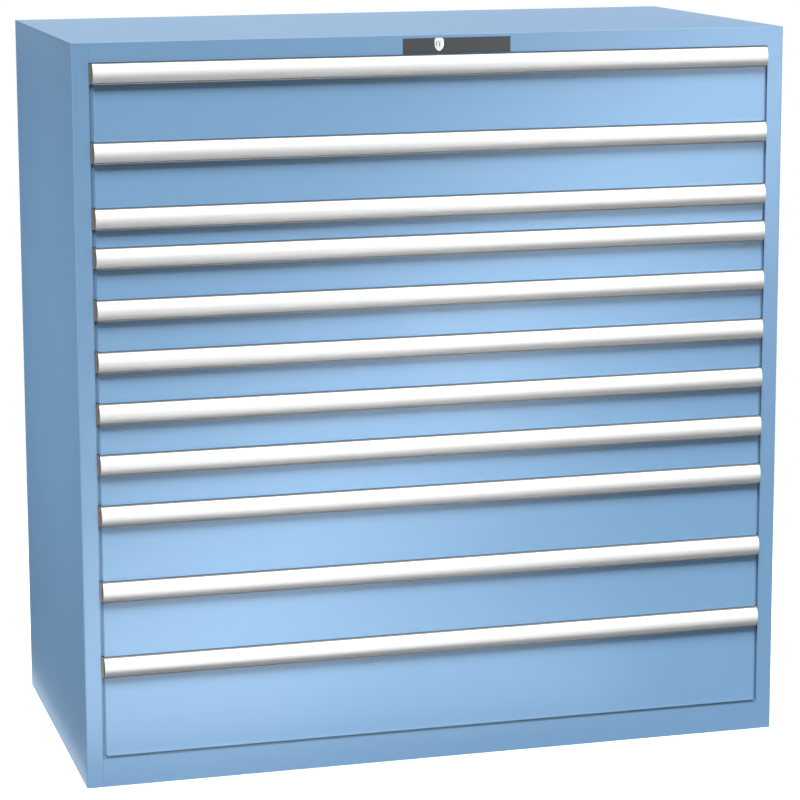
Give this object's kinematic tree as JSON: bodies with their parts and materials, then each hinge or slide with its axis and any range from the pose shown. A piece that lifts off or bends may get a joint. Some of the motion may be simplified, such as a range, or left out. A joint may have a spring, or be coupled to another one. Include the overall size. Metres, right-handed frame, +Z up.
{
  "type": "drawer cabinet",
  "caption": "Free-standing sheet-steel drawer cabinet with full-width drawers on telescopic roller runners, full-width handle strips and a central lock in the header.",
  "frame": {"origin": "on the floor, under the middle of the overall box", "axes": "+X to the right seen from the front, +Y to the back, +Z up; drawers open along -Y"},
  "size_m": [1.431, 0.741, 1.45],
  "materials": {
    "housing_paint": "semi-gloss light blue powder coat",
    "front_paint": "semi-gloss light blue powder coat",
    "tray_paint": "satin light grey powder coat",
    "handle_aluminium": "anodised profile with a white label strip and dark grey caps",
    "zinc_steel": "zinc-plated steel",
    "lock_plastic": "fine-grained dark grey plastic",
    "shield_chrome": "satin chrome",
    "plug_steel": "turned nickel-plated steel"
  },
  "bodies": {
    "housing": {"side_panel_left": "housing_paint", "side_panel_right": "housing_paint", "top_panel": "housing_paint", "base_panel": "housing_paint", "back_panel": "housing_paint", "uprights_left": "zinc_steel", "uprights_right": "zinc_steel", "cabinet_rails_left": "zinc_steel", "cabinet_rails_right": "zinc_steel", "lock_cover": "lock_plastic", "lock_shield": "shield_chrome", "lock_barrel": "zinc_steel", "lock_guides": "zinc_steel"},
    "drawer_01": {"drawer_front_01": "front_paint", "drawer_tray_01": "tray_paint", "drawer_handle_01": "handle_aluminium"},
    "middle_01": {"runner_middle_01": "zinc_steel"},
    "drawer_02": {"drawer_front_02": "front_paint", "drawer_tray_02": "tray_paint", "drawer_handle_02": "handle_aluminium"},
    "middle_02": {"runner_middle_02": "zinc_steel"},
    "drawer_03": {"drawer_front_03": "front_paint", "drawer_tray_03": "tray_paint", "drawer_handle_03": "handle_aluminium"},
    "middle_03": {"runner_middle_03": "zinc_steel"},
    "drawer_04": {"drawer_front_04": "front_paint", "drawer_tray_04": "tray_paint", "drawer_handle_04": "handle_aluminium"},
    "middle_04": {"runner_middle_04": "zinc_steel"},
    "drawer_05": {"drawer_front_05": "front_paint", "drawer_tray_05": "tray_paint", "drawer_handle_05": "handle_aluminium"},
    "middle_05": {"runner_middle_05": "zinc_steel"},
    "drawer_06": {"drawer_front_06": "front_paint", "drawer_tray_06": "tray_paint", "drawer_handle_06": "handle_aluminium"},
    "middle_06": {"runner_middle_06": "zinc_steel"},
    "drawer_07": {"drawer_front_07": "front_paint", "drawer_tray_07": "tray_paint", "drawer_handle_07": "handle_aluminium"},
    "middle_07": {"runner_middle_07": "zinc_steel"},
    "drawer_08": {"drawer_front_08": "front_paint", "drawer_tray_08": "tray_paint", "drawer_handle_08": "handle_aluminium"},
    "middle_08": {"runner_middle_08": "zinc_steel"},
    "drawer_09": {"drawer_front_09": "front_paint", "drawer_tray_09": "tray_paint", "drawer_handle_09": "handle_aluminium"},
    "middle_09": {"runner_middle_09": "zinc_steel"},
    "drawer_10": {"drawer_front_10": "front_paint", "drawer_tray_10": "tray_paint", "drawer_handle_10": "handle_aluminium"},
    "middle_10": {"runner_middle_10": "zinc_steel"},
    "drawer_11": {"drawer_front_11": "front_paint", "drawer_tray_11": "tray_paint", "drawer_handle_11": "handle_aluminium"},
    "middle_11": {"runner_middle_11": "zinc_steel"},
    "lock_plug": {"lock_plug": "plug_steel"},
    "lock_rod": {"lock_rod": "zinc_steel"},
    "lock_bar": {"lock_bar": "zinc_steel"}
  },
  "joints": [
    {"name": "drawer_01_slide", "type": "slide", "parent": "housing", "child": "drawer_01", "axis": [0, -1, 0], "range_m": [0, 0.612]},
    {"name": "middle_01_slide", "type": "slide", "parent": "housing", "child": "middle_01", "axis": [0, -1, 0], "range_m": [0, 0.306]},
    {"name": "drawer_02_slide", "type": "slide", "parent": "housing", "child": "drawer_02", "axis": [0, -1, 0], "range_m": [0, 0.612]},
    {"name": "middle_02_slide", "type": "slide", "parent": "housing", "child": "middle_02", "axis": [0, -1, 0], "range_m": [0, 0.306]},
    {"name": "drawer_03_slide", "type": "slide", "parent": "housing", "child": "drawer_03", "axis": [0, -1, 0], "range_m": [0, 0.612]},
    {"name": "middle_03_slide", "type": "slide", "parent": "housing", "child": "middle_03", "axis": [0, -1, 0], "range_m": [0, 0.306]},
    {"name": "drawer_04_slide", "type": "slide", "parent": "housing", "child": "drawer_04", "axis": [0, -1, 0], "range_m": [0, 0.612]},
    {"name": "middle_04_slide", "type": "slide", "parent": "housing", "child": "middle_04", "axis": [0, -1, 0], "range_m": [0, 0.306]},
    {"name": "drawer_05_slide", "type": "slide", "parent": "housing", "child": "drawer_05", "axis": [0, -1, 0], "range_m": [0, 0.612]},
    {"name": "middle_05_slide", "type": "slide", "parent": "housing", "child": "middle_05", "axis": [0, -1, 0], "range_m": [0, 0.306]},
    {"name": "drawer_06_slide", "type": "slide", "parent": "housing", "child": "drawer_06", "axis": [0, -1, 0], "range_m": [0, 0.612]},
    {"name": "middle_06_slide", "type": "slide", "parent": "housing", "child": "middle_06", "axis": [0, -1, 0], "range_m": [0, 0.306]},
    {"name": "drawer_07_slide", "type": "slide", "parent": "housing", "child": "drawer_07", "axis": [0, -1, 0], "range_m": [0, 0.612]},
    {"name": "middle_07_slide", "type": "slide", "parent": "housing", "child": "middle_07", "axis": [0, -1, 0], "range_m": [0, 0.306]},
    {"name": "drawer_08_slide", "type": "slide", "parent": "housing", "child": "drawer_08", "axis": [0, -1, 0], "range_m": [0, 0.612]},
    {"name": "middle_08_slide", "type": "slide", "parent": "housing", "child": "middle_08", "axis": [0, -1, 0], "range_m": [0, 0.306]},
    {"name": "drawer_09_slide", "type": "slide", "parent": "housing", "child": "drawer_09", "axis": [0, -1, 0], "range_m": [0, 0.612]},
    {"name": "middle_09_slide", "type": "slide", "parent": "housing", "child": "middle_09", "axis": [0, -1, 0], "range_m": [0, 0.306]},
    {"name": "drawer_10_slide", "type": "slide", "parent": "housing", "child": "drawer_10", "axis": [0, -1, 0], "range_m": [0, 0.612]},
    {"name": "middle_10_slide", "type": "slide", "parent": "housing", "child": "middle_10", "axis": [0, -1, 0], "range_m": [0, 0.306]},
    {"name": "drawer_11_slide", "type": "slide", "parent": "housing", "child": "drawer_11", "axis": [0, -1, 0], "range_m": [0, 0.612]},
    {"name": "middle_11_slide", "type": "slide", "parent": "housing", "child": "middle_11", "axis": [0, -1, 0], "range_m": [0, 0.306]},
    {"name": "bar_slide", "type": "slide", "parent": "housing", "child": "lock_bar", "axis": [0, 0, -1], "range_m": [0, 0.012]},
    {"name": "rod_slide", "type": "slide", "parent": "housing", "child": "lock_rod", "axis": [1, 0, 0], "range_m": [0, 0.012]},
    {"name": "lock_turn", "type": "hinge", "parent": "housing", "child": "lock_plug", "pos_m": [0, -0.3545, 1.4315], "axis": [0, -1, 0], "range_deg": [0, 90]}
  ],
  "couplings": [
    {"joint": "middle_01_slide", "follows": "drawer_01_slide", "ratio": 0.5},
    {"joint": "middle_02_slide", "follows": "drawer_02_slide", "ratio": 0.5},
    {"joint": "middle_03_slide", "follows": "drawer_03_slide", "ratio": 0.5},
    {"joint": "middle_04_slide", "follows": "drawer_04_slide", "ratio": 0.5},
    {"joint": "middle_05_slide", "follows": "drawer_05_slide", "ratio": 0.5},
    {"joint": "middle_06_slide", "follows": "drawer_06_slide", "ratio": 0.5},
    {"joint": "middle_07_slide", "follows": "drawer_07_slide", "ratio": 0.5},
    {"joint": "middle_08_slide", "follows": "drawer_08_slide", "ratio": 0.5},
    {"joint": "middle_09_slide", "follows": "drawer_09_slide", "ratio": 0.5},
    {"joint": "middle_10_slide", "follows": "drawer_10_slide", "ratio": 0.5},
    {"joint": "middle_11_slide", "follows": "drawer_11_slide", "ratio": 0.5},
    {"joint": "rod_slide", "follows": "bar_slide", "ratio": 1},
    {"joint": "lock_turn", "follows": "bar_slide", "rad_per_m": 130.9}
  ]
}
